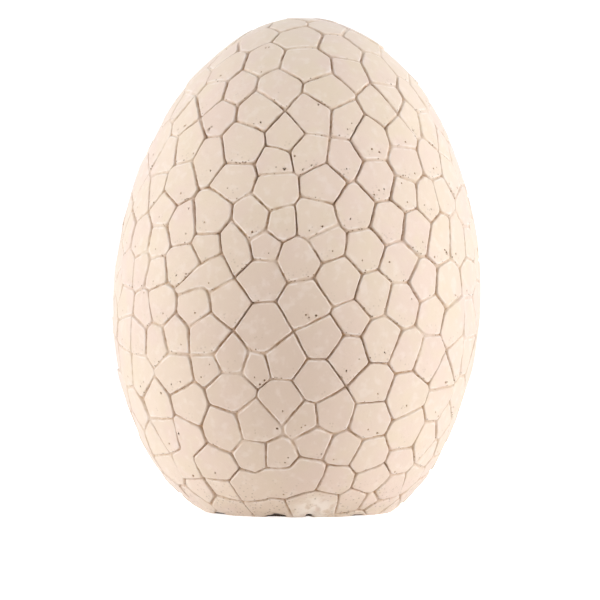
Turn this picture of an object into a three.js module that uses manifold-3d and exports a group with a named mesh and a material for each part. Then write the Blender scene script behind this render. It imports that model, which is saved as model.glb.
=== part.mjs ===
// Fossil dinosaur egg: a solid plaster egg, 80 mm tall, standing on a small flat foot.
// Its skin is a network of raised polygonal plates parted by narrow V-shaped grooves.
// Millimetres, +Z up, front towards -Y, the foot flat on z = 0 below the egg's middle.

import * as THREE from 'three';
import { ConvexHull } from 'three/addons/math/ConvexHull.js';
import { mergeVertices } from 'three/addons/utils/BufferGeometryUtils.js';
import Module from 'manifold-3d';

// Body: two half ellipsoids that meet at the girth, cut flat at the foot.
const GIRTH_RADIUS = 29.75;
const GIRTH_HEIGHT = 33;
const CROWN_RISE = 47;
const FOOT_DROP = 38;

// The real body is a little fuller than the lower half ellipsoid near the foot, and a
// little leaner than the upper one towards the tip: each as a share of the radius,
// with the heights between which it comes and goes.
const FOOT_SWELL = 0.038;
const FOOT_SWELL_LOW = 3;
const FOOT_SWELL_HIGH = 17;
const CROWN_SLIM = 0.014;
const CROWN_SLIM_LOW = 42;
const CROWN_SLIM_HIGH = 62;
const TIP_SLIM = 0.02;
const TIP_SLIM_LOW = 68;
const TIP_SLIM_HIGH = 79;

// The egg stands a touch askew: its middle line leans to +X with height,
// and the last few millimetres above the foot sweep back to +X.
const LEAN = 0.027;
const FOOT_SWEEP = 1.2;
const FOOT_SWEEP_FADE = 7;

// Grooves between the plates, and how close two groove junctions may come.
const GROOVE_HALF_WIDTH = 0.32;
const GROOVE_DEPTH = 0.45;
const JUNCTION_GAP = 0.9;

// Plates away from the front are scattered: their widths, and how close their middles
// may come as a share of the two half widths.
const PLATE_WIDTH_MIN = 4.5;
const PLATE_WIDTH_MAX = 7.0;
const PLATE_PACKING = 0.92;
const SCATTER_TRIES = 40000;
const SCATTER_SEED = 20;

// Front plates, each [across, up, width]: its middle in front elevation and its width.
const FRONT_PLATES = [
  // around the foot
  [-16.1, 2.5, 4.4], [-11.7, 4.6, 4.5], [-9.9, -0.8, 2.8], [8.8, 2.6, 4.3], [11.9, 2.5, 2.7],
  [14.7, 4.3, 4.2], [19.3, 6.3, 3.9], [6.3, 6.4, 4.9], [12.0, 6.2, 5.0], [-20.4, 7.8, 5.3],
  // low row
  [-22.4, 11.5, 5.4], [-12.9, 8.7, 5.5], [-6.7, 11.0, 4.8], [-3.1, 10.7, 4.2], [3.2, 12.7, 5.0],
  [7.5, 11.5, 5.3], [11.5, 10.2, 5.4], [16.8, 9.6, 4.3], [20.7, 12.6, 5.8], [23.5, 11.4, 4.7],
  [-11.2, 14.8, 6.6], [-6.3, 15.7, 7.1], [0.9, 16.4, 5.1], [5.8, 16.9, 5.8], [11.5, 16.1, 5.7],
  [17.8, 13.9, 6.4],
  // below the girth
  [-25.6, 17.0, 5.0], [-22.1, 18.6, 5.3], [-17.0, 18.6, 5.7], [-10.3, 20.5, 6.8], [-2.3, 18.9, 6.4],
  [3.3, 22.6, 6.5], [12.0, 21.5, 5.5], [17.6, 20.0, 6.6], [22.4, 17.8, 5.2], [25.9, 18.6, 5.0],
  [-27.3, 24.3, 4.6], [-24.9, 23.0, 5.2], [-19.3, 23.1, 5.7], [-13.5, 24.3, 4.6], [-10.3, 26.0, 5.8],
  [-6.5, 24.6, 4.2], [-1.7, 25.8, 6.0], [7.9, 26.3, 6.3], [17.7, 26.7, 5.5], [21.0, 25.5, 6.0],
  [25.7, 25.9, 4.8],
  // along the girth
  [-27.4, 29.2, 5.0], [-22.2, 28.1, 5.4], [-19.1, 29.5, 5.2], [-13.9, 29.4, 6.2], [-5.4, 30.5, 7.2],
  [4.1, 29.0, 6.6], [8.6, 32.0, 5.2], [13.3, 28.8, 6.0], [21.4, 32.6, 5.4], [25.3, 30.9, 6.0],
  [-27.6, 34.0, 5.0], [-23.9, 33.1, 4.1], [-21.4, 34.0, 6.0], [-16.2, 33.6, 5.3], [-10.4, 34.5, 6.3],
  [1.5, 34.4, 6.9], [12.3, 35.7, 5.8], [16.8, 34.4, 6.3],
  // above the girth
  [-27.0, 39.4, 5.0], [-24.7, 40.0, 4.5], [-18.1, 40.3, 5.9], [-5.5, 38.2, 6.7],
  [0.5, 41.3, 6.1], [6.6, 37.8, 6.5], [16.3, 40.6, 6.1], [20.0, 37.5, 5.8], [24.1, 37.0, 5.5],
  [27.9, 38.2, 5.0], [-24.7, 44.3, 5.6], [-22.1, 43.9, 5.2], [-13.7, 43.7, 4.7], [-5.1, 42.7, 4.7],
  [4.7, 43.9, 5.6], [10.8, 42.8, 5.7], [25.9, 44.2, 5.2], [27.9, 43.3, 5.0],
  // shoulder
  [-18.0, 46.5, 5.8], [-13.3, 48.0, 6.7], [-7.2, 47.9, 5.9], [-2.2, 47.1, 4.8], [3.1, 47.5, 6.7],
  [9.3, 49.2, 6.5], [14.6, 47.0, 6.2], [19.0, 45.4, 5.9], [27.0, 49.0, 5.0], [-24.7, 50.4, 5.1],
  [-21.1, 49.0, 5.6], [-3.2, 51.9, 6.3], [4.3, 52.8, 6.5], [17.1, 51.4, 4.9], [20.9, 50.7, 4.9],
  [23.5, 51.4, 4.8], [-18.7, 52.8, 6.2], [-9.8, 53.6, 6.3], [12.9, 53.4, 6.0],
  // upper row
  [-20.9, 57.3, 5.7], [-13.4, 56.9, 5.9], [-3.2, 56.2, 5.2], [2.2, 57.6, 6.1], [7.4, 56.9, 5.7],
  [17.4, 56.5, 5.8], [21.5, 56.6, 5.3], [-17.3, 59.4, 5.5], [-8.8, 59.1, 7.2], [-1.6, 60.6, 5.7],
  [11.7, 60.0, 6.7], [16.6, 60.7, 5.6], [21.4, 61.6, 5.1], [-12.1, 63.3, 5.3], [-6.2, 64.4, 6.7],
  [2.7, 63.6, 6.4], [8.0, 62.8, 5.7], [13.5, 64.7, 5.7], [-17.9, 63.4, 5.2], [-13.6, 67.0, 5.2],
  // crown
  [-9.0, 68.2, 5.4], [-3.0, 67.9, 6.4], [5.2, 67.5, 6.5], [15.2, 66.3, 4.8], [18.7, 66.9, 4.8],
  [8.2, 71.0, 5.8], [-16.0, 69.3, 4.5], [-11.3, 71.3, 5.5], [-5.0, 72.7, 6.0], [13.3, 71.4, 5.4],
  [16.6, 71.8, 5.2], [-6.3, 76.6, 5.6], [0.1, 76.3, 6.0], [7.5, 74.4, 5.8], [10.7, 76.0, 5.2],
  [-1.6, 78.9, 5.1], [5.3, 78.5, 5.0],
];

// Long front plates, each made of neighbouring middles that share one plate.
const LONG_PLATES = [
  [[-5.8, 1.3, 3.4], [-2.8, 1.2, 3.4]],
  [[0.8, 1.6, 3.6], [4.3, 2.5, 3.6]],
  [[-7.7, 5.0, 4.4], [-2.7, 6.0, 4.7], [2.0, 7.3, 4.4]],
  [[-17.4, 13.3, 5.0], [-17.7, 8.0, 4.7]],
  [[-12.3, 39.2, 4.6], [-16.9, 38.0, 3.7]],
  [[-10.1, 44.7, 4.7], [-9.1, 41.3, 4.7]],
  [[23.4, 45.2, 4.0], [22.5, 43.5, 4.3]],
  [[0.4, 72.6, 5.7], [3.2, 71.5, 5.4]],
];

// Half height of the ellipsoid on this side of the girth.
function riseAt(height) {
  return height >= GIRTH_HEIGHT ? CROWN_RISE : FOOT_DROP;
}

// Body radius at a height.
function radiusAt(height) {
  const level = (height - GIRTH_HEIGHT) / riseAt(height);
  return GIRTH_RADIUS * Math.sqrt(Math.max(0, 1 - level * level));
}

// Soft rise from 0 to 1 between two heights.
function softRise(low, high, height) {
  const share = Math.min(1, Math.max(0, (height - low) / (high - low)));
  return share * share * (3 - 2 * share);
}

// Radius of the real body as a share of the ellipsoid's at a height.
function fullness(height) {
  const swell = FOOT_SWELL * (1 - softRise(FOOT_SWELL_LOW, FOOT_SWELL_HIGH, height));
  const crown = CROWN_SLIM * softRise(CROWN_SLIM_LOW, CROWN_SLIM_HIGH, height);
  const tip = TIP_SLIM * softRise(TIP_SLIM_LOW, TIP_SLIM_HIGH, height);
  return 1 + swell - crown - tip;
}

// How far the middle line stands to +X at a height.
function middleShift(height) {
  return LEAN * (height - GIRTH_HEIGHT) + FOOT_SWEEP * Math.exp(-Math.max(0, height) / FOOT_SWEEP_FADE);
}

// Point of the upright body in a direction from the middle of the girth.
function bodyPoint(direction) {
  const rise = direction.z >= 0 ? CROWN_RISE : FOOT_DROP;
  const flat = (direction.x ** 2 + direction.y ** 2) / GIRTH_RADIUS ** 2;
  const reach = 1 / Math.sqrt(flat + (direction.z / rise) ** 2);
  return direction.clone().multiplyScalar(reach).setZ(direction.z * reach + GIRTH_HEIGHT);
}

// Direction from the middle of the girth to a point.
function directionTo(point) {
  return new THREE.Vector3(point.x, point.y, point.z - GIRTH_HEIGHT).normalize();
}

// Outward normal of the upright body.
function bodyNormal(point) {
  const rise = riseAt(point.z);
  const up = (point.z - GIRTH_HEIGHT) / rise ** 2;
  return new THREE.Vector3(point.x / GIRTH_RADIUS ** 2, point.y / GIRTH_RADIUS ** 2, up).normalize();
}

// Seeded random numbers from 0 to 1.
function makeRandom(seed) {
  let state = seed;
  return () => {
    state = (state + 0x6d2b79f5) | 0;
    let mixed = Math.imul(state ^ (state >>> 15), 1 | state);
    mixed = (mixed + Math.imul(mixed ^ (mixed >>> 7), 61 | mixed)) ^ mixed;
    return ((mixed ^ (mixed >>> 14)) >>> 0) / 4294967296;
  };
}

// Plate middle on the front of the body from its front elevation.
function frontMiddle(across, up, width, plate) {
  const x = (across - middleShift(up)) / fullness(up);
  const y = -Math.sqrt(Math.max(0, radiusAt(up) ** 2 - x * x));
  const point = bodyPoint(directionTo(new THREE.Vector3(x, y, up)));
  return { point, width, plate };
}

// Middles of the front plates, then scattered ones wherever there is room.
function plateMiddles() {
  const middles = FRONT_PLATES.map(([across, up, width], i) => frontMiddle(across, up, width, i));
  LONG_PLATES.forEach((parts, i) => {
    const plate = FRONT_PLATES.length + i;
    parts.forEach(([across, up, width]) => middles.push(frontMiddle(across, up, width, plate)));
  });
  const random = makeRandom(SCATTER_SEED);
  let plate = FRONT_PLATES.length + LONG_PLATES.length;
  for (let i = 0; i < SCATTER_TRIES; i += 1) {
    const height = 2 * random() - 1;
    const turn = 2 * Math.PI * random();
    const flat = Math.sqrt(1 - height * height);
    const point = bodyPoint(new THREE.Vector3(flat * Math.cos(turn), flat * Math.sin(turn), height));
    const spread = 1 - i / SCATTER_TRIES;
    const width = PLATE_WIDTH_MIN + (PLATE_WIDTH_MAX - PLATE_WIDTH_MIN) * random() * spread;
    const crowded = middles.some((other) => {
      return other.point.distanceTo(point) < (PLATE_PACKING * (other.width + width)) / 2;
    });
    if (!crowded) {
      middles.push({ point, width, plate });
      plate += 1;
    }
  }
  return middles;
}

// Each middle as a direction stretched by its plate's size, so that larger plates
// take more room when the hull of the stretched directions is drawn.
function stretchedDirection(middle) {
  const direction = directionTo(middle.point);
  const reach = Math.hypot(middle.point.x, middle.point.y, middle.point.z - GIRTH_HEIGHT);
  const half = middle.width / (2 * reach);
  return direction.multiplyScalar(1 + (half * half) / 2);
}

// Groove network: the junctions on the body, and each plate's border as a ring of junctions.
function grooveNetwork(middles) {
  const points = middles.map(stretchedDirection);
  const plateOf = new Map(points.map((point, i) => [point, middles[i].plate]));
  const hull = new ConvexHull().setFromPoints(points);
  const junctions = hull.faces.map((face) => bodyPoint(face.normal.clone().normalize()));
  const merged = junctions.map((_, i) => i);
  const rootOf = (i) => (merged[i] === i ? i : rootOf(merged[i]));
  for (let i = 0; i < junctions.length; i += 1) {
    for (let j = 0; j < i; j += 1) {
      if (junctions[i].distanceTo(junctions[j]) < JUNCTION_GAP) {
        merged[rootOf(i)] = rootOf(j);
      }
    }
  }
  const groups = new Map();
  junctions.forEach((junction, i) => {
    const root = rootOf(i);
    const group = groups.get(root) ?? { sum: new THREE.Vector3(), count: 0 };
    group.sum.add(junction);
    group.count += 1;
    groups.set(root, group);
  });
  const corners = new Map();
  groups.forEach(({ sum, count }, root) => {
    corners.set(root, bodyPoint(directionTo(sum.divideScalar(count))));
  });
  const faceNumber = new Map(hull.faces.map((face, i) => [face, i]));
  const steps = new Map();
  hull.faces.forEach((face) => {
    let edge = face.edge;
    do {
      const plate = plateOf.get(edge.tail().point);
      const from = rootOf(faceNumber.get(edge.twin.face));
      const to = rootOf(faceNumber.get(face));
      if (plate !== plateOf.get(edge.head().point) && from !== to) {
        if (!steps.has(plate)) {
          steps.set(plate, new Map());
        }
        steps.get(plate).set(from, to);
      }
      edge = edge.next;
    } while (edge !== face.edge);
  });
  const borders = [...steps.values()].map((links) => {
    const first = links.keys().next().value;
    const ring = [first];
    for (let at = links.get(first); at !== first; at = links.get(at)) {
      ring.push(at);
    }
    return ring;
  });
  return { corners, borders };
}

// Corner of a plate's top: the groove junction moved into the plate by the groove's half width.
function topCorner(before, corner, after) {
  const normal = bodyNormal(corner);
  const inward = (from, to) => normal.clone().cross(to.clone().sub(from)).normalize();
  const first = inward(before, corner);
  const second = inward(corner, after);
  const slant = Math.max(0.35, 1 + first.dot(second));
  const move = first.add(second).multiplyScalar(GROOVE_HALF_WIDTH / slant);
  return bodyPoint(directionTo(corner.clone().add(move)));
}

// Closed skin of the egg: groove walls and a domed top for every plate.
function skinGeometry({ corners, borders }) {
  const positions = [];
  const indices = [];
  const addPoint = (point) => {
    const full = fullness(point.z);
    positions.push(point.x * full + middleShift(point.z), point.y * full, point.z);
    return positions.length / 3 - 1;
  };
  const valleyIndex = new Map();
  corners.forEach((corner, id) => {
    const sunk = corner.clone().addScaledVector(bodyNormal(corner), -GROOVE_DEPTH);
    valleyIndex.set(id, addPoint(sunk));
  });
  borders.forEach((ring) => {
    const outline = ring.map((id) => corners.get(id));
    const count = outline.length;
    const tops = outline.map((corner, i) => {
      return topCorner(outline[(i + count - 1) % count], corner, outline[(i + 1) % count]);
    });
    const centre = tops.reduce((sum, top) => sum.add(top), new THREE.Vector3()).divideScalar(count);
    const rim = tops.map(addPoint);
    const crest = addPoint(bodyPoint(directionTo(centre)));
    for (let i = 0; i < count; i += 1) {
      const j = (i + 1) % count;
      const low = valleyIndex.get(ring[i]);
      const nextLow = valleyIndex.get(ring[j]);
      indices.push(low, nextLow, rim[j]);
      indices.push(low, rim[j], rim[i]);
      indices.push(rim[i], rim[j], crest);
    }
  });
  const geometry = new THREE.BufferGeometry();
  geometry.setAttribute('position', new THREE.Float32BufferAttribute(positions, 3));
  geometry.setIndex(indices);
  return geometry;
}

const wasm = await Module();
wasm.setup();

// Solid from a closed geometry.
function toSolid(geometry) {
  const bare = geometry.clone();
  bare.deleteAttribute('normal');
  bare.deleteAttribute('uv');
  const welded = mergeVertices(bare, 1e-4);
  const vertProperties = new Float32Array(welded.attributes.position.array);
  const triVerts = new Uint32Array(welded.index.array);
  return new wasm.Manifold(new wasm.Mesh({ numProp: 3, vertProperties, triVerts }));
}

// Geometry from a solid.
function toGeometry(solid) {
  const mesh = solid.getMesh();
  const geometry = new THREE.BufferGeometry();
  geometry.setAttribute('position', new THREE.BufferAttribute(mesh.vertProperties, 3));
  geometry.setIndex(new THREE.BufferAttribute(mesh.triVerts, 1));
  geometry.computeVertexNormals();
  return geometry;
}

// The foot: everything below z = 0 is cut away.
function cutFoot(solid) {
  const size = 4 * GIRTH_RADIUS;
  const block = new THREE.BoxGeometry(size, size, size);
  block.translate(0, 0, -size / 2);
  return solid.subtract(toSolid(block));
}

const skin = skinGeometry(grooveNetwork(plateMiddles()));
const egg = new THREE.Mesh(
  toGeometry(cutFoot(toSolid(skin))),
  new THREE.MeshStandardMaterial({ color: 0xe8d8c8, roughness: 0.92, metalness: 0, flatShading: true }),
);
egg.name = 'egg';

const model = new THREE.Group();
model.add(egg);

export default model;
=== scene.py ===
"""A solid plaster fossil dinosaur egg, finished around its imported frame.

The frame's egg carries the network of grooves as plain V cuts. Its plates are taken
over from it as single faces, and each is then worked into a cast plate with a rounded
rim, wandering grooves, a slight tilt of its own and small air holes.
"""

from __future__ import annotations

import logging
import math
import random
from dataclasses import dataclass, field
from enum import Enum
from functools import cached_property
from typing import Iterable, Sequence

import bmesh
import bpy
from bmesh.types import BMEdge, BMesh, BMFace, BMVert
from bpy.types import Material, Node, NodeSocket, NodeTree, Object
from mathutils import Matrix, Vector, noise
from mathutils.kdtree import KDTree


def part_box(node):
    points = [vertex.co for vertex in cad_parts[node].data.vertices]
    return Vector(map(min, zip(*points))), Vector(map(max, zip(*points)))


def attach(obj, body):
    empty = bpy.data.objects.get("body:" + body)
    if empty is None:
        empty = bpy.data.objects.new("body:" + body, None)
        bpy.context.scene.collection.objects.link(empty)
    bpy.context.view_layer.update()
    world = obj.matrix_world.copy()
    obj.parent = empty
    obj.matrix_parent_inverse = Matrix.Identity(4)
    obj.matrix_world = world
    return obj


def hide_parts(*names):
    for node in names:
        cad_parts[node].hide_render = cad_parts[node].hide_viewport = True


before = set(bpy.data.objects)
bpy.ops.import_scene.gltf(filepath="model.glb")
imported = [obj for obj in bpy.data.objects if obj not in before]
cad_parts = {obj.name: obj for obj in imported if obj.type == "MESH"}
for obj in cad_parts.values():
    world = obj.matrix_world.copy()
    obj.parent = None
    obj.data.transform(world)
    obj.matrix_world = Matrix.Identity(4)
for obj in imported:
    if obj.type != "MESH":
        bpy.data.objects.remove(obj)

Pair = tuple[float, float]
Triple = tuple[float, float, float]

LOG = logging.getLogger("fossil_egg")
MM = 0.001
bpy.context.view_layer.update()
EGG_NODE = "egg"
BODY = "root"
PIECE = "egg_cast"

GIRTH_SHARE = 0.413
CROWN_SHARE = 0.5882
FOOT_SHARE = 0.4756
TORN_PLACE = (2.6 * MM, -15.9 * MM, 2.2 * MM)

# painted shade in the grooves, the air holes and round the foot
PAINTED_SHADE_LAYER = "groove"
# paler plate rims: partly rubbed wear, partly a painted highlight
RIM_WEAR_AND_HIGHLIGHT_LAYER = "rim_wear_and_highlight"
PITTED_LAYER = "pitted"


class Seed(Enum):
    """Starting numbers of the random draws, one for each use."""

    RELIEF = 11
    HOLES = 23


def smooth_step(low: float, high: float, value: float) -> float:
    """Rises softly from 0 to 1.

    Args:
        low: Value at which the result is 0.
        high: Value at which the result is 1.
        value: The value to judge.

    Returns:
        The share from 0 to 1.
    """
    share = min(1.0, max(0.0, (value - low) / (high - low)))
    return share * share * (3.0 - 2.0 * share)


def wander(point: Vector, wave: float, shift: float) -> float:
    """Smooth noise from about -1 to 1.

    Args:
        point: Place in metres.
        wave: Length of the noise's waves in metres.
        shift: Offset that makes one noise differ from another.

    Returns:
        The noise at that place.
    """
    return noise.noise(point / wave + Vector((shift, -shift, 2.0 * shift)))


@dataclass(frozen=True)
class EggForm:
    """The smooth body that the plates lie on: two half ellipsoids on a leaning line.

    Attributes:
        girth_radius: Radius at the widest height.
        girth_height: Height of the widest place.
        crown_rise: From the girth to the top.
        foot_drop: From the girth to where the lower half would close.
        lean: How far the middle line goes to +X for each metre of height.
        foot_sweep: How far the foot stands to +X of the middle line.
        sweep_fade: Height over which that sweep dies away.
        foot_swell: How much fuller it is near the foot, as a share of the radius.
        crown_slim: How much leaner it is in the upper half.
        tip_slim: How much leaner still it is by the tip.
    """

    girth_radius: float
    girth_height: float
    crown_rise: float
    foot_drop: float
    lean: float = 0.027
    foot_sweep: float = 1.2 * MM
    sweep_fade: float = 7.0 * MM
    foot_swell: float = 0.038
    crown_slim: float = 0.014
    tip_slim: float = 0.02

    @classmethod
    def of_frame(cls) -> EggForm:
        """The form that the frame's egg was cut to, worked out from its box."""
        low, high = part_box(EGG_NODE)
        height = high.z - low.z
        return cls(
            girth_radius=(high.x - low.x) / 2.0,
            girth_height=GIRTH_SHARE * height,
            crown_rise=CROWN_SHARE * height,
            foot_drop=FOOT_SHARE * height,
        )

    def middle(self, height: float) -> float:
        """Where the middle line stands in X at a height."""
        sweep = self.foot_sweep * math.exp(-max(0.0, height) / self.sweep_fade)
        return self.lean * (height - self.girth_height) + sweep

    def reach(self, height: float) -> float:
        """Half height of the ellipsoid on this side of the girth."""
        return self.crown_rise if height >= self.girth_height else self.foot_drop

    def fullness(self, height: float) -> float:
        """Radius of the body as a share of the ellipsoid's.

        Args:
            height: Height over the foot.

        Returns:
            The share.
        """
        swell = self.foot_swell * (1.0 - smooth_step(3.0 * MM, 17.0 * MM, height))
        crown = self.crown_slim * smooth_step(42.0 * MM, 62.0 * MM, height)
        tip = self.tip_slim * smooth_step(68.0 * MM, 79.0 * MM, height)
        return 1.0 + swell - crown - tip

    def radius(self, height: float) -> float:
        """Radius of the body at a height."""
        level = (height - self.girth_height) / self.reach(height)
        flat = math.sqrt(max(0.0, 1.0 - level * level))
        return self.girth_radius * flat * self.fullness(height)

    def settle(self, point: Vector) -> Vector:
        """Moves a point onto the body, along the line from the middle of the girth.

        Args:
            point: A point near the body.

        Returns:
            The point on the body.
        """
        full = self.fullness(point.z)
        x = (point.x - self.middle(point.z)) / full
        y = point.y / full
        up = point.z - self.girth_height
        flat = (x * x + y * y) / self.girth_radius**2
        scale = 1.0 / math.sqrt(flat + (up / self.reach(point.z)) ** 2)
        height = self.girth_height + up * scale
        scale *= self.fullness(height)
        return Vector((x * scale + self.middle(height), y * scale, height))

    def settle_on_foot(self, point: Vector) -> Vector:
        """Moves a point onto the edge between the body and its foot."""
        plan = Vector((point.x - self.middle(0.0), point.y, 0.0))
        plan *= self.radius(0.0) / plan.length
        return plan + Vector((self.middle(0.0), 0.0, 0.0))

    def outward(self, point: Vector) -> Vector:
        """Outward direction of the body.

        Args:
            point: A point on the body.

        Returns:
            The direction, of length 1.
        """
        up = (point.z - self.girth_height) / self.reach(point.z) ** 2
        side = self.girth_radius**-2
        x = (point.x - self.middle(point.z)) * side
        return Vector((x, point.y * side, up)).normalized()


@dataclass(frozen=True)
class GrooveRing:
    """One ring of a plate, from its groove to its top.

    Attributes:
        away: Distance from the groove's bottom.
        share: Height as a share of the groove's depth.
        shade_share: How much of the groove's painted shade it holds.
        worn: How far it is made pale, partly rubbed wear and partly a painted highlight.
    """

    away: float
    share: float
    shade_share: float
    worn: float


@dataclass(frozen=True)
class GrooveProfile:
    """Cross-section of a groove, from its bottom to the rim of the plate.

    Attributes:
        depth: Depth of a full groove.
        rings: The rings from the groove's wall to the top of the plate.
        shallowest: Share of the depth that a level groove keeps, low down and high up.
        side_share: Share of the depth that is left where the two mould halves meet.
        unevenness: How much the depth varies along a groove.
        junction: How much deeper the grooves are where they meet.
        faint_width: Width of a faint groove as a share of a full one's.
        widest: The most that a groove opens, as a share of a full one's width.
        level_zone: Heights between which level grooves turn shallow.
        crown_loss: How much shallower still they get by the crown.
        crown_zone: Heights between which that comes in.
        steep_gain: How much deeper upright grooves get higher up.
        steep_zone: Heights between which that comes in.
        side_zone: How far a place faces the front or back where the sides' fading ends.
        low_width: How wide the grooves near the foot are beside the others.
        torn_reach: How far from the torn patch's middle the grooves are rubbed away.
    """

    depth: float = 0.52 * MM
    rings: tuple[GrooveRing, ...] = (
        GrooveRing(0.11 * MM, -0.82, 1.0, 0.0),
        GrooveRing(0.18 * MM, -0.25, 0.25, 0.5),
        GrooveRing(0.285 * MM, 0.0, 0.0, 1.0),
        GrooveRing(0.42 * MM, 0.0, 0.0, 0.0),
    )
    shallowest: Pair = (0.8, 0.36)
    side_share: float = 0.5
    unevenness: float = 0.6
    junction: float = 1.25
    faint_width: float = 1.5
    widest: float = 1.5
    level_zone: Pair = (14.0 * MM, 40.0 * MM)
    crown_loss: float = 0.16
    crown_zone: Pair = (58.0 * MM, 70.0 * MM)
    steep_gain: float = 0.35
    steep_zone: Pair = (28.0 * MM, 50.0 * MM)
    side_zone: Pair = (0.25, 0.85)
    low_width: float = 0.95
    torn_reach: float = 4.4 * MM

    def strength(self, point: Vector, steepness: float) -> float:
        """How full the groove is at a place, as a share of a full groove.

        Args:
            point: Place on the body.
            steepness: 1 where the groove runs upright, 0 where it runs level.

        Returns:
            The share, about 1 for a full groove.
        """
        low, high = self.shallowest
        level = low + (high - low) * smooth_step(*self.level_zone, point.z)
        level -= self.crown_loss * smooth_step(*self.crown_zone, point.z)
        lie = level + (1.0 - level) * steepness
        lie *= 1.0 + self.steep_gain * steepness * smooth_step(*self.steep_zone, point.z)
        facing = abs(point.y) / math.hypot(point.x, point.y, 1e-6)
        lie *= self.side_share + (1.0 - self.side_share) * smooth_step(*self.side_zone, facing)
        swing = 1.0 + self.unevenness * wander(point, 3.6 * MM, 4.0)
        swing += 0.8 * self.unevenness * wander(point, 1.0 * MM, 9.0)
        swing += 0.7 * self.unevenness * wander(point, 9.0 * MM, 14.0)
        torn = (point - Vector(TORN_PLACE)).length
        swing *= 0.2 + 0.8 * smooth_step(0.5 * self.torn_reach, self.torn_reach, torn)
        return max(0.1, lie * swing)

    def openness(self, point: Vector, strength: float) -> float:
        """Width of the groove at a place, as a share of a full groove's.

        Args:
            point: Place on the body.
            strength: How full the groove is there.

        Returns:
            The share.
        """
        share = self.faint_width + (1.0 - self.faint_width) * min(1.15, strength)
        grown = smooth_step(12.0 * MM, 34.0 * MM, point.z)
        share *= self.low_width + (1.0 - self.low_width) * grown
        share *= 1.0 + 0.4 * wander(point, 5.0 * MM, 16.0)
        share *= 1.0 + 0.35 * wander(point, 0.9 * MM, 12.0)
        return min(self.widest, max(0.6, share))


@dataclass(frozen=True)
class PlateRelief:
    """How one plate stands.

    Attributes:
        middle: Its middle on the body.
        tilt: How far it rises for each metre along.
        lift: How far it stands out as a whole.
        flatness: How much of the body's roundness it lacks.
        bend: Radius of that roundness.
    """

    middle: Vector
    tilt: Vector
    lift: float
    flatness: float
    bend: float

    def height(self, point: Vector) -> float:
        """Height of the plate over the body.

        Args:
            point: A point on the body.

        Returns:
            The height.
        """
        arm = point - self.middle
        rise = self.flatness * (arm.length_squared / (2.0 * self.bend) - 0.1 * MM)
        swell = 0.055 * MM * wander(point, 2.7 * MM, 1.0)
        swell += 0.02 * MM * wander(point, 0.9 * MM, 6.0)
        return self.lift + arm.dot(self.tilt) + rise + swell


@dataclass
class FootEdge:
    """The worn edge round the foot.

    Attributes:
        chips: Angle in degrees from the front, half width in degrees, depth in metres.
        reach: Height up to which a chip is felt.
        roughness: Depth of the small unevenness all round.
        undercut: How far a chip goes in under the edge, as a share of its depth.
    """

    chips: tuple[Triple, ...] = (
        (-17.0, 3.8, 0.22 * MM),
        (-11.0, 5.8, 0.27 * MM),
        (6.2, 2.8, 0.58 * MM),
        (38.0, 7.0, 0.2 * MM),
        (-55.0, 9.0, 0.22 * MM),
        (97.0, 6.0, 0.35 * MM),
        (141.0, 10.0, 0.3 * MM),
        (-128.0, 8.0, 0.4 * MM),
        (-171.0, 5.0, 0.3 * MM),
    )
    reach: float = 1.8 * MM
    roughness: float = 0.1 * MM
    undercut: float = 0.8

    def wear(self, form: EggForm, point: Vector) -> float:
        """How far the foot's edge is worn away at a point's bearing.

        Args:
            form: The egg's body.
            point: A point near the edge.

        Returns:
            The missing height in metres.
        """
        bearing = math.degrees(math.atan2(point.x - form.middle(0.0), -point.y))
        worn = self.roughness * max(0.0, 0.3 + wander(point, 1.4 * MM, 3.0))
        for angle, half_width, depth in self.chips:
            away = abs((bearing - angle + 180.0) % 360.0 - 180.0) / half_width
            ragged = 1.0 + 0.35 * wander(point, 0.7 * MM, 8.0)
            worn += depth * ragged * (1.0 - smooth_step(0.45, 1.0, away))
        return worn


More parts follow.
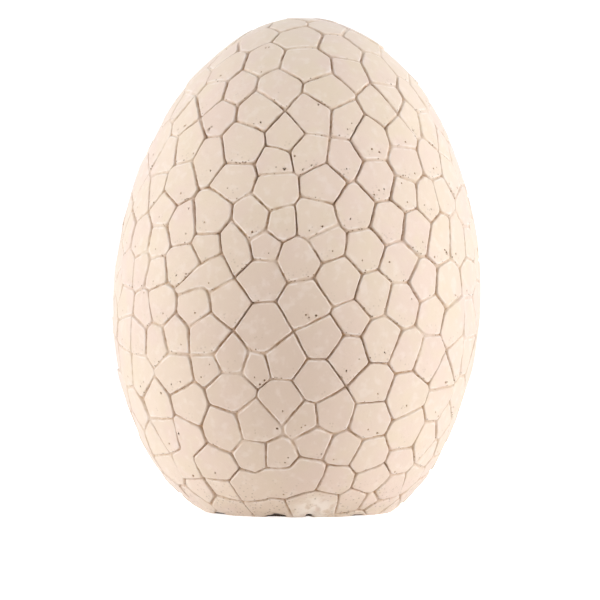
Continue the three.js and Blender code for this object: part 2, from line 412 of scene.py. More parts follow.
@dataclass
class AirHoles:
    """Small round holes left by air bubbles in the plaster.

    Attributes:
        front: Across, up and width of single holes on the front, in millimetres.
        scattered: Number of holes strewn over the plates.
        along_rims: Number of holes strewn along the lower rims of the plates.
        narrowest: Least width of a strewn hole.
        widest: Greatest width of a strewn hole.
        depth_share: Depth as a share of the width.
        mouth_shade: How much painted shade a hole holds round its mouth.
        bottom_shade: How much painted shade it holds at its bottom.
    """

    front: tuple[Triple, ...] = (
        (-3.2, 15.0, 0.42), (-1.4, 10.2, 0.44), (12.3, 11.0, 0.42), (9.5, 2.2, 0.34),
        (-9.4, 5.4, 0.34), (-8.8, 4.3, 0.32), (-17.3, 9.7, 0.4), (-19.0, 13.2, 0.36),
        (-21.3, 19.9, 0.4), (-13.7, 24.7, 0.4), (-7.0, 45.5, 0.42), (-0.6, 44.6, 0.44),
        (2.2, 45.6, 0.34), (-14.2, 43.3, 0.38), (-2.3, 54.7, 0.36), (2.6, 55.8, 0.3),
        (1.4, 55.3, 0.28), (2.7, 57.8, 0.3), (-0.3, 57.6, 0.3), (-5.7, 62.6, 0.52),
        (-6.1, 64.9, 0.26), (3.5, 65.7, 0.34), (-1.9, 74.4, 0.4), (17.3, 59.6, 0.34),
        (16.5, 53.0, 0.3), (24.3, 53.1, 0.44), (21.1, 35.2, 0.4), (23.9, 38.3, 0.4),
        (-24.2, 35.7, 0.36),
    )
    scattered: int = 45
    along_rims: int = 190
    narrowest: float = 0.2 * MM
    widest: float = 0.42 * MM
    depth_share: float = 0.75
    mouth_shade: float = 0.7
    bottom_shade: float = 1.6

    def places(self, form: EggForm) -> list[tuple[Vector, float]]:
        """Where the holes lie.

        Args:
            form: The egg's body.

        Returns:
            A point on the body and a width for each hole.
        """
        found = []
        for across, up, width in ([n * MM for n in hole] for hole in self.front):
            x = across - form.middle(up)
            y = -math.sqrt(max(0.0, form.radius(up) ** 2 - x * x))
            found.append((Vector((across, y, up)), width))
        draw = random.Random(Seed.HOLES.value)
        for _ in range(self.scattered):
            turn = draw.uniform(0.0, 2.0 * math.pi)
            up = (form.girth_height + form.crown_rise) * draw.random() ** 1.3
            radius = form.radius(up)
            x = radius * math.sin(turn) + form.middle(up)
            width = draw.uniform(self.narrowest, self.widest)
            found.append((Vector((x, -radius * math.cos(turn), up)), width))
        return found


@dataclass
class ShellCast:
    """The cast egg: plates, grooves, air holes and foot in one closed mesh.

    Attributes:
        form: The smooth body.
        groove: Cross-section of the grooves.
        edge: The worn foot edge.
        holes: The air holes.
        valley_angle: An edge folded inwards by more than this is a groove's bottom.
        bead: Distance between points along a groove.
        sliver: A plate smaller than this joins its neighbour.
        soften: How far each ring's points move towards their neighbours.
        sway: How far the grooves' long bends go.
        waver: How far their short bends go.
        heart: Size of the ring inside the plate as a share of its rim.
        reach: The furthest a point of a ring goes in, in steps of that ring.
        ironings: The most times that folded spots are smoothed.
        foot_rings: Number of rings that part the underside.
        tilt: How far a plate may tilt, as a rise for each metre along.
        lift: Least and greatest lift of a plate, in millimetres.
        flatness: Least and greatest flatness of a plate.
    """

    form: EggForm
    groove: GrooveProfile = field(default_factory=GrooveProfile)
    edge: FootEdge = field(default_factory=FootEdge)
    holes: AirHoles = field(default_factory=AirHoles)
    valley_angle: float = math.radians(45.0)
    bead: float = 0.58 * MM
    sliver: float = 2.2 * MM * MM
    soften: float = 0.2
    sway: float = 0.2 * MM
    waver: float = 0.1 * MM
    heart: float = 0.52
    reach: float = 2.2
    ironings: int = 60
    foot_rings: int = 12
    tilt: float = 0.042
    lift: Pair = (-0.05, 0.06)
    flatness: Pair = (0.1, 0.5)

    def build(self, source: Object) -> Object:
        """Makes the egg.

        Args:
            source: The frame's egg, which is only read.

        Returns:
            The finished piece, not yet dressed.
        """
        mesh = bpy.data.meshes.new(PIECE)
        bm = bmesh.new()
        bm.from_mesh(source.data)
        self._height = bm.verts.layers.float.new("height")
        # Layer of painted shade in the grooves, the air holes and round the foot.
        self._painted_shade = bm.verts.layers.float.new(PAINTED_SHADE_LAYER)
        # Layer of paler rims, partly rubbed wear and partly a painted highlight.
        self._rim_wear_and_highlight = bm.verts.layers.float.new(RIM_WEAR_AND_HIGHLIGHT_LAYER)
        self._pitted = bm.verts.layers.float.new(PITTED_LAYER)
        plates, foot = self._take_plates(bm)
        self._lay_out_grooves(bm, foot)
        self._raise_plates(bm, plates)
        self._finish_foot(bm, foot)
        self._stand_out(bm)
        self._make_holes(bm)
        bm.normal_update()
        bm.verts.layers.float.remove(self._height)
        bm.to_mesh(mesh)
        bm.free()
        mesh.polygons.foreach_set("use_smooth", [True] * len(mesh.polygons))
        piece = bpy.data.objects.new(PIECE, mesh)
        bpy.context.scene.collection.objects.link(piece)
        return piece

    def _take_plates(self, bm: BMesh) -> tuple[list, BMFace]:
        """Joins the frame's triangles into one face for each plate.

        Args:
            bm: A copy of the frame's mesh.

        Returns:
            The plates and the foot's underside.
        """
        bmesh.ops.remove_doubles(bm, verts=bm.verts, dist=0.002 * MM)
        bm.normal_update()
        level = 0.01 * MM
        border = set()
        for edge in bm.edges:
            if edge.calc_face_angle_signed(0.0) < -self.valley_angle:
                border.add(edge)
            flat = [all(v.co.z < level for v in face.verts) for face in edge.link_faces]
            if len(flat) == 2 and flat[0] != flat[1]:
                border.add(edge)
        seen: set = set()
        regions = []
        for start in bm.faces:
            if start in seen:
                continue
            seen.add(start)
            region, front = [start], [start]
            while front:
                for edge in front.pop().edges:
                    if edge in border:
                        continue
                    for face in edge.link_faces:
                        if face not in seen:
                            seen.add(face)
                            region.append(face)
                            front.append(face)
            regions.append(region)
        for region in regions:
            bmesh.ops.dissolve_faces(bm, faces=region, use_verts=False)
        foot = max(bm.faces, key=lambda f: f.calc_area() * (max(v.co.z for v in f.verts) < level))
        straight = [v for v in foot.verts if len(v.link_edges) == 2]
        bmesh.ops.dissolve_verts(bm, verts=straight)
        for plate in sorted(bm.faces, key=lambda f: f.calc_area()):
            if plate.is_valid and plate is not foot and plate.calc_area() < self.sliver:
                self._join_neighbour(bm, plate, foot)
        plates = [face for face in bm.faces if face is not foot]
        LOG.info("took over %d plates", len(plates))
        return plates, foot

    def _join_neighbour(self, bm: BMesh, plate: BMFace, foot: BMFace) -> None:
        """Joins a sliver with the plate that it shares its longest edge with.

        Args:
            bm: The plates as single faces.
            plate: The sliver.
            foot: The foot's underside, which stays apart.
        """
        edges = [e for e in plate.edges if foot not in e.link_faces]
        longest = max(edges, key=lambda e: e.calc_length())
        other = next(f for f in longest.link_faces if f is not plate)
        bmesh.ops.dissolve_faces(bm, faces=[plate, other], use_verts=False)

    def _lay_out_grooves(self, bm: BMesh, foot: BMFace) -> None:
        """Brings the groove lines onto the body, parts them finely and lets them wander.

        Args:
            bm: The plates as single faces.
            foot: The foot's underside.
        """
        form = self.form
        foot_rim = set(foot.verts)
        for vert in bm.verts:
            settle = form.settle_on_foot if vert in foot_rim else form.settle
            vert.co = settle(vert.co)
        junctions = {v for v in bm.verts if len(v.link_edges) > 2}
        by_cuts: dict[int, list] = {}
        for edge in bm.edges:
            cuts = max(1, round(edge.calc_length() / self.bead)) - 1
            by_cuts.setdefault(cuts, []).append(edge)
        for cuts, edges in by_cuts.items():
            if cuts:
                bmesh.ops.bisect_edges(bm, edges=edges, cuts=cuts)
        foot_rim = set(foot.verts)
        for vert in bm.verts:
            bend = Vector([wander(vert.co, 4.5 * MM, shift) for shift in (20.0, 30.0, 40.0)])
            jitter = Vector([wander(vert.co, 1.2 * MM, shift) for shift in (50.0, 60.0, 70.0)])
            moved = vert.co + self.sway * bend + self.waver * jitter
            vert.co = form.settle_on_foot(moved) if vert in foot_rim else form.settle(moved)
        for vert in bm.verts:
            steep = [abs((e.verts[0].co - e.verts[1].co).normalized().z) for e in vert.link_edges]
            strength = self.groove.strength(vert.co, sum(steep) / len(steep))
            if vert in junctions:
                strength *= self.groove.junction
            vert[self._height] = -self.groove.depth * strength
            # Painted shade at the groove's bottom, darker where the groove is deeper; past 1.1 it
            # turns near-black.
            vert[self._painted_shade] = min(1.6, strength**1.3)
            vert[self._pitted] = 1.0 - smooth_step(0.25, 0.6, min(steep))

    def _raise_plates(self, bm: BMesh, plates: list) -> None:
        """Works each plate: rings up the groove's wall, over the rim and to its heart.

        Args:
            bm: The plates as single faces with finely parted edges.
            plates: Those faces.
        """
        held = set(bm.verts)
        draw = random.Random(Seed.RELIEF.value)
        reliefs = [self._relief(plate, draw) for plate in plates]
        narrow = []
        for plate in plates:
            room = 2.0 * plate.calc_area() / plate.calc_perimeter()
            narrow.append(min(1.0, room / (1.1 * MM)))
        done = 0.0
        for ring in self.groove.rings:
            for size in sorted(set(round(n, 1) for n in narrow)):
                batch = [p for p, n in zip(plates, narrow) if round(n, 1) == size]
                step = (ring.away - done) * size
                bmesh.ops.inset_individual(bm, faces=batch, thickness=step, use_even_offset=True)
            for plate, relief, size in zip(plates, reliefs, narrow):
                self._dress_ring(plate, relief, ring, (ring.away - done) * size)
            done = ring.away
        bmesh.ops.inset_individual(bm, faces=plates, thickness=0.05 * MM)
        for plate, relief in zip(plates, reliefs):
            middle = plate.calc_center_median()
            for vert in plate.verts:
                vert.co = self.form.settle(middle.lerp(vert.co, self.heart))
                vert[self._height] = relief.height(vert.co)
        made = bmesh.ops.poke(bm, faces=plates)
        for vert in made["verts"]:
            around = [e.other_vert(vert)[self._height] for e in vert.link_edges]
            vert.co = self.form.settle(vert.co)
            vert[self._height] = sum(around) / len(around)
        self._iron_folds(bm, held)

    def _iron_folds(self, bm: BMesh, held: set[BMVert]) -> None:
        """Smooths the spots where rings folded over, while all lie on the even form.

        Args:
            bm: The egg with its rings made and not yet raised.
            held: The points that stay where they are.
        """
        watched = [face for face in bm.faces if len(face.verts) < 5]
        for _ in range(self.ironings):
            folded = []
            for face in watched:
                face.normal_update()
                middle = self.form.settle(face.calc_center_median())
                if face.normal.dot(self.form.outward(middle)) < 0.0:
                    folded.append(face)
            touched = {v for face in folded for v in face.verts} - held
            if not touched:
                break
            loose = sorted(touched, key=lambda v: tuple(v.co))
            bmesh.ops.smooth_vert(
                bm, verts=loose, factor=0.5, use_axis_x=True, use_axis_y=True, use_axis_z=True
            )
            for vert in loose:
                vert.co = self.form.settle(vert.co)
            near = {face for vert in loose for face in vert.link_faces} | set(folded)
            watched = [face for face in near if len(face.verts) < 5]
        LOG.info("left %d folded faces", len(folded))

    def _relief(self, plate: BMFace, draw: random.Random) -> PlateRelief:
        """Draws how one plate stands.

        Args:
            plate: The plate as a single face.
            draw: The random draw.

        Returns:
            The plate's relief.
        """
        middle = self.form.settle(plate.calc_center_median())
        outward = self.form.outward(middle)
        tilt = Vector([draw.uniform(-1.0, 1.0) for _ in range(3)])
        tilt -= outward * tilt.dot(outward)
        return PlateRelief(
            middle=middle,
            tilt=tilt * self.tilt,
            lift=draw.uniform(*self.lift) * MM,
            flatness=draw.uniform(*self.flatness),
            bend=self.form.girth_radius,
        )

    def _dress_ring(
        self, plate: BMFace, relief: PlateRelief, ring: GrooveRing, step: float
    ) -> None:
        """Softens a plate's newest ring and notes how high it stands.

        Args:
            plate: The plate's inner face, whose corners are the ring.
            relief: How the plate stands.
            ring: The ring's place in the groove's cross-section.
            step: How far in from the ring before it this one lies.
        """
        verts = list(plate.verts)
        inner = set(verts)
        before = [v.co.copy() for v in verts]
        top = 1.0 + min(0.0, ring.share)
        near = 1.0 - smooth_step(0.22 * MM, 0.55 * MM, ring.away)
        for i, vert in enumerate(verts):
            last, following = before[i - 1], before[(i + 1) % len(before)]
            outer = next(
                e.other_vert(vert) for e in vert.link_edges if e.other_vert(vert) not in inner
            )
            strength = self.groove.strength(vert.co, abs((following - last).normalized().z))
            arm = before[i].lerp((last + following) / 2.0, self.soften) - outer.co
            arm *= self.groove.openness(vert.co, strength)
            arm *= min(1.0, self.reach * step / max(arm.length, 1e-9))
            vert.co = self.form.settle(outer.co + arm)
            depth = self.groove.depth * strength
            height = ring.share * depth + relief.height(vert.co) * smooth_step(0.0, 1.0, top)
            below = -(vert.co - relief.middle).normalized().z
            vert[self._height] = height
            # Painted shade down the groove's wall, as strong as the groove is full.
            vert[self._painted_shade] = ring.shade_share * min(1.0, strength)
            # Paler rim, partly rubbed wear and partly a painted highlight.
            vert[self._rim_wear_and_highlight] = ring.worn
            vert[self._pitted] = near * smooth_step(0.45, 0.85, below)

    def _finish_foot(self, bm: BMesh, foot: BMFace) -> None:
        """Works the underside into a flat, slightly hollow and pitted face.

        Args:
            bm: The egg.
            foot: The foot's underside.
        """
        for vert in foot.verts:
            vert[self._painted_shade] = 0.0
        middle = Vector((self.form.middle(0.0), 0.0, 0.0))
        for i in range(self.foot_rings):
            bmesh.ops.inset_individual(bm, faces=[foot], thickness=0.02 * MM)
            size = 1.0 - (i + 0.35) / self.foot_rings
            ring = list(foot.verts)
            before = [v.co.copy() for v in ring]
            for j, vert in enumerate(ring):
                around = (before[j - 1] + before[(j + 1) % len(ring)]) / 2.0
                plan = before[j].lerp(around, 0.3) - middle
                vert.co = middle + plan.normalized() * self.form.radius(0.0) * size
                vert.co.z = 0.0
                vert[self._height] = 0.0
                vert[self._painted_shade] = 0.0
        bmesh.ops.poke(bm, faces=[foot])

    def _stand_out(self, bm: BMesh) -> None:
        """Moves every point to its height over the body, wears the foot's edge, and paints a
        contact shadow round the foot's rim and a shadow in its chips.

        Args:
            bm: The egg.
        """
        form, edge = self.form, self.edge
        rim = form.radius(0.0)
        for vert in bm.verts:
            z = vert.co.z
            worn = edge.wear(form, vert.co)
            if z < 0.001 * MM:
                inside = rim - Vector((vert.co.x - form.middle(0.0), vert.co.y)).length
                near = 1.0 - smooth_step(0.0, 2.2 * MM, inside)
                hollow = max(0.0, wander(vert.co, 2.4 * MM, 15.0) - 0.25) * 0.5 * MM
                hollow += max(0.0, wander(vert.co, 0.9 * MM, 17.0) - 0.35) * 0.6 * MM
                # Painted shade: a thin contact shadow round the underside's rim, darker in the
                # chips.
                vert[self._painted_shade] = near * (0.55 + 1.6 * smooth_step(0.1 * MM, 0.25 * MM, worn))
                vert.co.z = 0.5 * worn * near + hollow * smooth_step(0.3 * MM, 1.5 * MM, inside)
                continue
            grip = smooth_step(0.0, 0.7 * MM, z)
            # Painted shadow low in the chips; the same mask sets how far they undercut.
            undercut_and_shadow = smooth_step(-0.02 * MM, 0.12 * MM, 0.9 * worn - z) * (worn > 0.12 * MM)
            undercut_and_shadow *= 1.0 - smooth_step(0.2 * MM, 0.34 * MM, z)
            height = vert[self._height] * grip - edge.undercut * worn * undercut_and_shadow
            vert.co += form.outward(vert.co) * height
            vert.co.z = max(0.01 * MM, vert.co.z) + 0.5 * worn * (1.0 - min(1.0, z / edge.reach))
            vert[self._painted_shade] = max(vert[self._painted_shade] * grip, 2.0 * undercut_and_shadow)

    def _make_holes(self, bm: BMesh) -> None:
        """Sinks the air holes into the plates.

        Args:
            bm: The egg.
        """
        whole = [face for face in bm.faces if self._holds_hole(face)]
        tree = KDTree(len(whole))
        for i, face in enumerate(whole):
            tree.insert(face.calc_center_median(), i)
        tree.balance()
        holes = {}
        for place, width in self.holes.places(self.form):
            _, index, away = tree.find(place)
            if index not in holes and away < 1.0 * MM:
                holes[index] = (place, width)
        low = [i for i, face in enumerate(whole) if self._lies_low(face)]
        draw = random.Random(Seed.HOLES.value)
        for index in draw.sample(low, self.holes.along_rims):
            outer = sorted(whole[index].verts, key=lambda v: v[self._pitted])[2:]
            place = outer[0].co.lerp(outer[1].co, draw.random())
            holes[index] = (place, draw.uniform(self.holes.narrowest, self.holes.widest))
        faces = []
        for index, (place, _) in holes.items():
            face = whole[index]
            spans = sorted(face.edges, key=lambda e: e.calc_length())[2:]
            made = bmesh.ops.subdivide_edges(bm, edges=spans, cuts=2, use_grid_fill=True)
            cuts = [e for e in made["geom_inner"] if isinstance(e, BMEdge)]
            near = {f for cut in cuts for f in cut.link_faces if len(f.verts) == 4} or {face}
            faces.append(min(near, key=lambda f: (f.calc_center_median() - place).length))
        bmesh.ops.inset_individual(bm, faces=faces, thickness=0.05 * MM)
        sides = [edge for face in faces for edge in face.edges]
        bmesh.ops.bisect_edges(bm, edges=sides, cuts=1)
        inward = {}
        for face, (_, width) in zip(faces, holes.values()):
            width = min(width, 0.23 * face.calc_perimeter())
            inward[face] = -face.normal * width * self.holes.depth_share
            self._round_mouth(face, width)
            for vert in face.verts:
                # painted shade round the hole's mouth
                vert[self._painted_shade] = self.holes.mouth_shade
        bmesh.ops.inset_individual(bm, faces=faces, thickness=0.05 * MM)
        for face in faces:
            for vert in face.verts:
                vert.co += inward[face]
                # darker painted shade at the hole's bottom
                vert[self._painted_shade] = self.holes.bottom_shade
        LOG.info("sank %d air holes", len(faces))

    def _lies_low(self, face: BMFace) -> bool:
        """Whether a face lies along the lower rim of its plate."""
        return max(v[self._pitted] for v in face.verts) > 0.25

    def _holds_hole(self, face: BMFace) -> bool:
        """Whether a face lies on a plate and has room for a hole."""
        if len(face.verts) != 4 or face.calc_area() < 0.25 * MM * MM:
            return False
        return min(v.co.z for v in face.verts) > 0.6 * MM

    def _round_mouth(self, face: BMFace, width: float) -> None:
        """Brings the eight corners of a face onto a hole's round mouth.

        Args:
            face: The face, with a point in the middle of each side.
            width: Width of the hole.
        """
        ring = [loop.vert for loop in face.loops]
        middle = face.calc_center_median()
        normal = face.normal.copy()
        arm = (ring[0].co - middle).normalized()
        for i, vert in enumerate(ring):
            turned = Matrix.Rotation(2.0 * math.pi * i / len(ring), 3, normal) @ arm
            vert.co = middle + turned * width / 2.0


class Tone(Enum):
    """Colours of the plaster, as linear red, green and blue, and of the shade and highlight
    painted on it.
    """

    CREAM = (0.71, 0.565, 0.433)
    ROSE = (0.705, 0.545, 0.437)
    SAND = (0.7, 0.562, 0.413)
    # painted shade low in the middle of the front and back
    LOW_MIDDLE_SHADE = (0.6, 0.455, 0.348)
    # painted shade in the grooves
    GROOVE_SHADE = (0.46, 0.29, 0.165)
    # painted shade in the pin pricks
    PRICK_SHADE = (0.28, 0.17, 0.095)
    # near-black painted shade in the deepest grooves, the hole bottoms and the foot's chips
    DEEP_SHADE = (0.045, 0.022, 0.011)
    TORN = (0.83, 0.725, 0.62)
    # pale mottling, and the rims' paleness, which is partly a painted highlight
    CHALK = (0.84, 0.75, 0.68)

    @property
    def rgba(self) -> tuple[float, float, float, float]:
        """The colour with full cover."""
        return (*self.value, 1.0)


class NodeSheet:
    """A node tree with short ways to add and join nodes."""

    def __init__(self, tree: NodeTree) -> None:
        """Empties the tree.

        Args:
            tree: The node tree to fill.
        """
        self.tree = tree
        tree.nodes.clear()

    def add(self, kind: str, values: dict | None = None, **settings: object) -> Node:
        """Adds a node, sets its properties and fills its inputs.

        Args:
            kind: The node's type.
            values: Fixed inputs by name or number.
            settings: Properties by name.

        Returns:
            The node.
        """
        node = self.tree.nodes.new(kind)
        for name, value in settings.items():
            setattr(node, name, value)
        for socket, value in (values or {}).items():
            node.inputs[socket].default_value = value
        return node

    def join(self, out: NodeSocket, into: NodeSocket) -> None:
        """Links an output to an input."""
        self.tree.links.new(out, into)

    @cached_property
    def where(self) -> NodeSocket:
        """The piece's own coordinates."""
        return self.add("ShaderNodeTexCoord").outputs["Object"]

    def layer(self, name: str) -> NodeSocket:
        """Reads one of the mesh's own layers."""
        return self.add("ShaderNodeAttribute", attribute_name=name).outputs["Fac"]

    def surface(self, shader: Node, output: str) -> None:
        """Makes a shader the tree's surface, through an output node of a type."""
        self.join(shader.outputs[0], self.add(output).inputs["Surface"])

    def gap(self, where: NodeSocket, place: Sequence[float]) -> NodeSocket:
        """Measures how far each spot lies from a place.

        Args:
            where: The coordinates.
            place: The place.

        Returns:
            The distance.
        """
        node = self.add("ShaderNodeVectorMath", {1: place}, operation="DISTANCE")
        self.join(where, node.inputs[0])
        return node.outputs["Value"]

    def noise(self, wave: float, detail: float) -> NodeSocket:
        """Adds a noise texture on the piece's own coordinates.

        Args:
            wave: Length of its waves in metres.
            detail: How many finer octaves it has.

        Returns:
            The noise from 0 to 1.
        """
        node = self.add("ShaderNodeTexNoise", {"Scale": 1.0 / wave, "Detail": detail})
        self.join(self.where, node.inputs["Vector"])
        return node.outputs["Fac"]

    def span(
        self, value: NodeSocket, low: float, high: float, start: float, end: float
    ) -> NodeSocket:
        """Maps a value from one range to another and keeps it inside.

        Args:
            value: The value to map.
            low: Value that gives start.
            high: Value that gives end.
            start: Result at low.
            end: Result at high.

        Returns:
            The mapped value.
        """
        ends = {"From Min": low, "From Max": high, "To Min": start, "To Max": end}
        node = self.add("ShaderNodeMapRange", ends, interpolation_type="SMOOTHSTEP")
        self.join(value, node.inputs["Value"])
        return node.outputs["Result"]

    def math(self, operation: str, first: NodeSocket, second: NodeSocket | float) -> NodeSocket:
        """Adds a sum on two values.

        Args:
            operation: Name of the operation.
            first: The first value.
            second: The second value, joined or fixed.

        Returns:
            The result.
        """
        node = self.add("ShaderNodeMath", operation=operation)
        self.join(first, node.inputs[0])
        if isinstance(second, (int, float)):
            node.inputs[1].default_value = second
        else:
            self.join(second, node.inputs[1])
        return node.outputs[0]

    def blend(
        self,
        share: NodeSocket,
        first: NodeSocket | Tone,
        second: NodeSocket | Tone,
    ) -> NodeSocket:
        """Mixes two colours.

        Args:
            share: How much of the second colour shows.
            first: The first colour.
            second: The second colour.

        Returns:
            The mixed colour.
        """
        node = self.add("ShaderNodeMix", data_type="RGBA")
        self.join(share, node.inputs["Factor"])
        for colour, socket in ((first, node.inputs[6]), (second, node.inputs[7])):
            if isinstance(colour, Tone):
                socket.default_value = colour.rgba
            else:
                self.join(colour, socket)
        return node.outputs[2]


@dataclass(frozen=True)
class PlasterFinish:
    """Matt cast plaster, mottled and grainy, with painted shade in its grooves, holes, pricks,
    chips and low middle, and rims partly paled by a painted highlight.

    Attributes:
        name: Name of the material.
        roughness: Range of its roughness.
        grain: Depth of its grain.
        torn_size: How far the pale torn patch by the foot reaches.
        shade_scale: How the coordinates are scaled for the painted shade low in the middle.
        shade_place: Middle of that shade in the scaled coordinates.
        shade_reach: How far that shade reaches.
        speck_gap: How far the pin pricks lie apart.
        rough_height: Height up to which the rougher, pricked skin by the foot reaches.
    """

    name: str = "cast_plaster"
    roughness: Pair = (0.82, 0.96)
    grain: float = 0.03 * MM
    torn_size: float = 5.2 * MM
    shade_scale: Triple = (1.0, 0.0, 0.7)
    shade_place: Triple = (-3.0 * MM, 0.0, 18.0 * MM)
    shade_reach: float = 24.0 * MM
    speck_gap: float = 0.62 * MM
    rough_height: float = 8.5 * MM

    def make(self) -> Material:
        """Builds the material.

        Returns:
            The material.
        """
        material = bpy.data.materials.new(self.name)
        material.use_nodes = True
        sheet = NodeSheet(material.node_tree)
        gloss = {"Specular IOR Level": 0.25, "Sheen Weight": 0.32, "Sheen Roughness": 0.6}
        shader = sheet.add("ShaderNodeBsdfPrincipled", gloss)
        sheet.join(self._colour(sheet), shader.inputs["Base Color"])
        fine = sheet.noise(0.5 * MM, 4.0)
        sheet.join(sheet.span(fine, 0.3, 0.7, *self.roughness), shader.inputs["Roughness"])
        sheet.join(self._grain(sheet), shader.inputs["Normal"])
        sheet.surface(shader, "ShaderNodeOutputMaterial")
        return material

    def _colour(self, sheet: NodeSheet) -> NodeSocket:
        """Mottled plaster with a torn patch, painted shade in its grooves, holes, pricks, chips
        and low middle, and paler rims, partly a painted highlight.

        Args:
            sheet: The material's nodes.

        Returns:
            The colour.
        """
        broad = sheet.span(sheet.noise(9.0 * MM, 2.0), 0.4, 0.62, 0.0, 1.0)
        warm = sheet.span(sheet.noise(5.0 * MM, 4.0), 0.48, 0.68, 0.0, 0.85)
        colour = sheet.blend(broad, Tone.CREAM, Tone.ROSE)
        pale = sheet.span(sheet.noise(1.5 * MM, 6.0), 0.5, 0.7, 0.0, 0.2)
        rim_wear_and_highlight = sheet.layer(RIM_WEAR_AND_HIGHLIGHT_LAYER)
        worn = sheet.span(sheet.noise(1.3 * MM, 3.0), 0.38, 0.62, 0.0, 0.55)
        groove = sheet.layer(PAINTED_SHADE_LAYER)
        shade_share = sheet.span(sheet.noise(0.9 * MM, 4.0), 0.38, 0.62, 0.3, 1.1)
        coats = (
            (warm, Tone.SAND),
            # painted shade low in the middle of the front and back
            (self._low_middle_shade(sheet), Tone.LOW_MIDDLE_SHADE),
            (pale, Tone.CHALK),
            # paler rims, partly rubbed wear and partly a painted highlight
            (sheet.math("MULTIPLY", rim_wear_and_highlight, worn), Tone.CHALK),
            # painted shade in the grooves, the air holes and round the foot, mottled
            (sheet.math("MULTIPLY", groove, shade_share), Tone.GROOVE_SHADE),
            # painted shade in the pin pricks, whose dents come from the bump
            (self._specks(sheet), Tone.PRICK_SHADE),
            (self._torn(sheet), Tone.TORN),
            # near-black painted shade in the deepest grooves, the hole bottoms and the foot's
            # chips
            (sheet.span(groove, 1.1, 2.0, 0.0, 1.0), Tone.DEEP_SHADE),
        )
        for share, tone in coats:
            colour = sheet.blend(share, colour, tone)
        return colour

    def _low_middle_shade(self, sheet: NodeSheet) -> NodeSocket:
        """Share of the painted shade low in the middle of the front and back.

        Args:
            sheet: The material's nodes.

        Returns:
            The share from 0 to 1.
        """
        flat = sheet.add("ShaderNodeVectorMath", {1: self.shade_scale}, operation="MULTIPLY")
        sheet.join(sheet.where, flat.inputs[0])
        gap = sheet.gap(flat.outputs["Vector"], self.shade_place)
        return sheet.span(gap, 1.0 * MM, self.shade_reach, 0.9, 0.0)

    def _specks(self, sheet: NodeSheet) -> NodeSocket:
        """Share of the pin pricks, which gather along the lower rims.

        Args:
            sheet: The material's nodes.

        Returns:
            The share from 0 to 1.
        """
        cells = sheet.add("ShaderNodeTexVoronoi", {"Scale": 1.0 / self.speck_gap})
        sheet.join(sheet.where, cells.inputs["Vector"])
        dot = sheet.span(cells.outputs["Distance"], 0.16, 0.31, 1.0, 0.0)
        belt = sheet.layer(PITTED_LAYER)
        patch = sheet.span(sheet.noise(2.6 * MM, 2.0), 0.41, 0.53, 0.0, 1.0)
        belt = sheet.span(belt, 0.15, 0.8, 0.03, 1.0)
        parts = sheet.add("ShaderNodeSeparateXYZ")
        sheet.join(sheet.where, parts.inputs[0])
        low = sheet.span(parts.outputs["Z"], 2.0 * MM, self.rough_height, 0.6, 0.0)
        belt = sheet.math("MAXIMUM", belt, low)
        return sheet.math("MULTIPLY", dot, sheet.math("MULTIPLY", belt, patch))

    def _torn(self, sheet: NodeSheet) -> NodeSocket:
        """Share of the pale torn patch by the foot.

        Args:
            sheet: The material's nodes.

        Returns:
            The share from 0 to 1.
        """
        gap = sheet.gap(sheet.where, TORN_PLACE)
        inside = sheet.span(gap, 0.3 * self.torn_size, self.torn_size, 1.0, 0.0)
        ragged = sheet.span(sheet.noise(1.5 * MM, 6.0), 0.34, 0.54, 0.0, 0.95)
        return sheet.math("MULTIPLY", inside, ragged)

    def _grain(self, sheet: NodeSheet) -> NodeSocket:
        """Fine grain and pin pricks of the plaster's skin.

        Args:
            sheet: The material's nodes.

        Returns:
            The bumped normal.
        """
        fine = sheet.noise(0.35 * MM, 4.0)
        broad = sheet.math("MULTIPLY", sheet.noise(1.3 * MM, 3.0), 2.4)
        pricks = sheet.math("MULTIPLY", self._specks(sheet), -3.0)
        torn = sheet.math("MULTIPLY", self._torn(sheet), 6.0)
        height = sheet.math("ADD", sheet.math("ADD", fine, broad), pricks)
        height = sheet.math("ADD", height, torn)
        bump = sheet.add("ShaderNodeBump", {"Strength": 0.55, "Distance": self.grain})
        sheet.join(height, bump.inputs["Height"])
        return bump.outputs["Normal"]


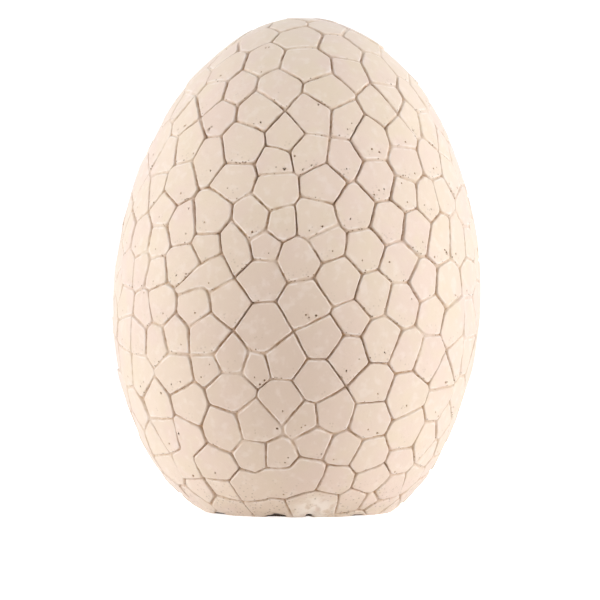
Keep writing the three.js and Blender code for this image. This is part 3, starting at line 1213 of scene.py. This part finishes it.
@dataclass
class Studio:
    """Pale floor, soft side lights and the camera.

    Attributes:
        floor_half: Half the floor's width.
        floor_tone: Lightness of the floor.
        floor_glow: Light that the floor gives of its own, as a lit table does.
        floor_seen: The same as it looks.
        camera_place: Where the camera stands.
        camera_aim: What it looks at.
        lens: Focal length in millimetres.
        sky_front: Strength of the all-round light from the front.
        sky_back: The same from behind, off the bright backdrop.
        light_away: Distance of the lights from the egg.
        light_tone: Colour of the lights.
        softboxes: Name, bearing and height in degrees, and watts of each light.
    """

    floor_half: float = 0.45
    floor_tone: float = 0.8
    floor_glow: float = 0.3
    floor_seen: float = 0.75
    camera_place: Triple = (0.6 * MM, -700.0 * MM, 51.0 * MM)
    camera_aim: Triple = (0.6 * MM, 0.0, 34.25 * MM)
    lens: float = 258.7
    sky_front: float = 0.07
    sky_back: float = 1.1
    light_away: float = 0.7
    light_tone: Triple = (0.975, 1.0, 1.05)
    softboxes: tuple[tuple[str, float, float, float], ...] = (
        ("softbox_left", -74.0, 6.0, 5.5),
        ("softbox_right", 72.0, 6.0, 6.0),
        ("softbox_top", -4.0, 70.0, 1.85),
    )

    def build(self) -> None:
        """Sets up the floor, the lights and the camera."""
        self._floor()
        self._sky()
        for softbox in self.softboxes:
            self._softbox(*softbox)
        self._camera()

    def _floor(self) -> None:
        """Makes the plain pale floor."""
        bm = bmesh.new()
        bmesh.ops.create_grid(bm, x_segments=1, y_segments=1, size=self.floor_half)
        bmesh.ops.translate(bm, verts=bm.verts, vec=Vector((0.0, 0.0, -0.02 * MM)))
        mesh = bpy.data.meshes.new("studio_floor")
        bm.to_mesh(mesh)
        bm.free()
        floor = bpy.data.objects.new("studio_floor", mesh)
        bpy.context.scene.collection.objects.link(floor)
        material = bpy.data.materials.new("studio_floor")
        material.use_nodes = True
        sheet = NodeSheet(material.node_tree)
        pale = (self.floor_tone,) * 3 + (1.0,)
        values = {"Base Color": pale, "Roughness": 0.9, "Emission Color": (1.0,) * 4}
        shader = sheet.add("ShaderNodeBsdfPrincipled", values)
        seen = sheet.add("ShaderNodeLightPath").outputs["Is Camera Ray"]
        glow = sheet.span(seen, 0.0, 1.0, self.floor_glow, self.floor_seen)
        sheet.join(glow, shader.inputs["Emission Strength"])
        sheet.surface(shader, "ShaderNodeOutputMaterial")
        mesh.materials.append(material)

    def _sky(self) -> None:
        """Makes the all-round light, which looks white behind the egg."""
        world = bpy.data.worlds.new("studio_light")
        world.use_nodes = True
        bpy.context.scene.world = world
        sheet = NodeSheet(world.node_tree)
        light = sheet.add("ShaderNodeBackground", {"Color": (0.95, 0.98, 1.04, 1.0)})
        way = sheet.add("ShaderNodeSeparateXYZ")
        sheet.join(sheet.add("ShaderNodeTexCoord").outputs["Generated"], way.inputs[0])
        strength = sheet.span(way.outputs["Y"], -0.2, 0.8, self.sky_front, self.sky_back)
        sheet.join(strength, light.inputs["Strength"])
        backdrop = sheet.add("ShaderNodeBackground", {"Color": (1.0,) * 4, "Strength": 1.1})
        mix = sheet.add("ShaderNodeMixShader")
        sheet.join(sheet.add("ShaderNodeLightPath").outputs["Is Camera Ray"], mix.inputs["Fac"])
        sheet.join(light.outputs[0], mix.inputs[1])
        sheet.join(backdrop.outputs[0], mix.inputs[2])
        sheet.surface(mix, "ShaderNodeOutputWorld")

    def _softbox(self, name: str, bearing: float, height: float, power: float) -> None:
        """Adds a large soft light that faces the egg.

        Args:
            name: Name of the light.
            bearing: Degrees round from the front, positive to +X.
            height: Degrees up from level.
            power: Power in watts.
        """
        data = bpy.data.lights.new(name, "AREA")
        data.shape = "RECTANGLE"
        data.size = 0.42
        data.size_y = 0.6
        data.energy = power
        data.color = self.light_tone
        light = bpy.data.objects.new(name, data)
        turn, rise = math.radians(bearing), math.radians(height)
        flat = self.light_away * math.cos(rise)
        aim = Vector((0.0, 0.0, 0.04))
        place = aim + Vector(
            (flat * math.sin(turn), -flat * math.cos(turn), self.light_away * math.sin(rise))
        )
        light.location = place
        light.rotation_euler = (aim - place).to_track_quat("-Z", "Y").to_euler()
        bpy.context.scene.collection.objects.link(light)

    def _camera(self) -> None:
        """Adds the camera and makes it the scene's own."""
        data = bpy.data.cameras.new("camera")
        data.lens = self.lens
        data.clip_start = 0.05
        data.clip_end = 20.0
        camera = bpy.data.objects.new("camera", data)
        place = Vector(self.camera_place)
        camera.location = place
        aim = Vector(self.camera_aim) - place
        camera.rotation_euler = aim.to_track_quat("-Z", "Y").to_euler()
        bpy.context.scene.collection.objects.link(camera)
        bpy.context.scene.camera = camera
        view = bpy.context.scene.view_settings
        view.view_transform = "Standard"
        view.look = "None"


def main() -> None:
    """Builds the studio and the egg, and ties the egg to its frame."""
    logging.basicConfig(level=logging.INFO, format="%(name)s: %(message)s")
    Studio().build()
    egg = ShellCast(EggForm.of_frame()).build(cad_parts[EGG_NODE])
    egg.data.materials.append(PlasterFinish().make())
    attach(egg, BODY)
    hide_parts(EGG_NODE)
    LOG.info("%s has %d faces", egg.name, len(egg.data.polygons))


if __name__ == "__main__":
    main()
